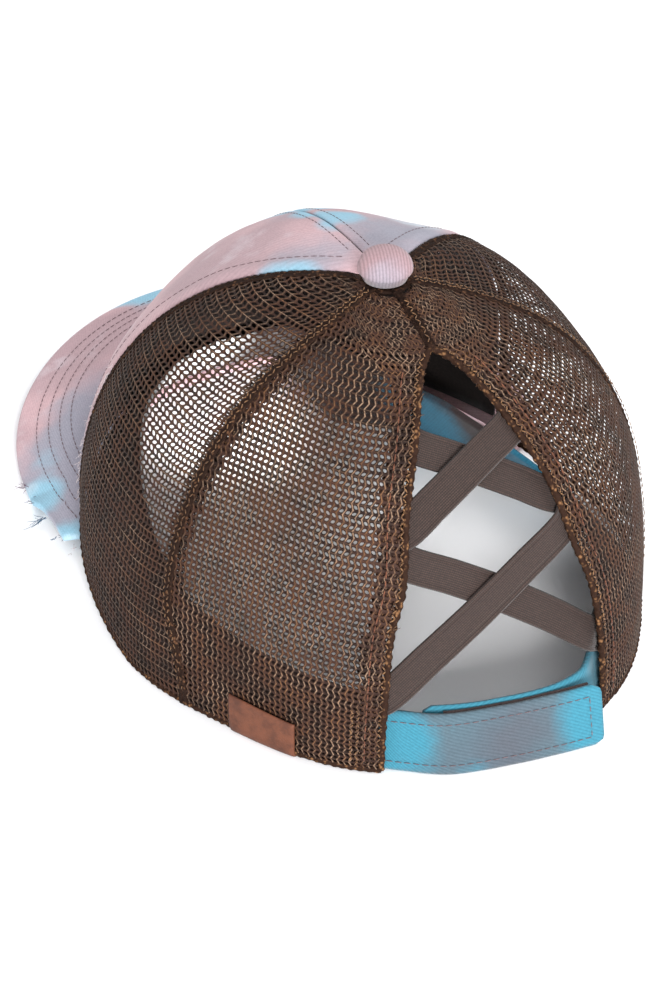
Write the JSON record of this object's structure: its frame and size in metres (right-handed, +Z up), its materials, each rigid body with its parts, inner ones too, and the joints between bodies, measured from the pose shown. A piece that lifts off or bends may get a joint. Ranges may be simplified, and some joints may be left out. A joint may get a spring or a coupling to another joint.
{
  "type": "ponytail baseball cap",
  "caption": "Soft cap with a curved visor, twill front, net sides and back, and a tall open back crossed by elastics and closed below by a hook and loop strap",
  "frame": {"origin": "centre of the bounding box's footprint, on the surface that the cap rests on", "axes": "+X is the wearer's left, +Y the back of the head with the ponytail opening, -Y the visor, +Z up"},
  "size_m": [0.178, 0.2722, 0.1182],
  "materials": {
    "net": "fine open net of dark brown thread with tan highlights",
    "twill": "washed cotton twill in a tie-dye of dusty pink, mauve, lavender grey and pale cyan",
    "cyan_twill": "washed cotton twill in cyan and teal with mauve patches",
    "lining": "matte, nearly black brown woven cloth",
    "elastic": "ribbed taupe brown elastic with corded edges",
    "leather": "reddish brown leather-like cloth, softly grained"
  },
  "bodies": {
    "root": {"back_panel_left": "net", "back_panel_right": "net", "side_panel_left": "net", "side_panel_right": "net", "front_panel_left": "twill", "front_panel_right": "twill", "button": "twill", "front_lining": "lining", "inner_band": "cyan_twill", "visor": "twill", "elastic_upper_under": "elastic", "elastic_upper_over": "elastic", "elastic_lower_under": "elastic", "elastic_lower_over": "elastic", "closure_outer": "cyan_twill", "hook_tape": "lining", "closure_inner": "cyan_twill", "label": "leather"}
  },
  "joints": []
}
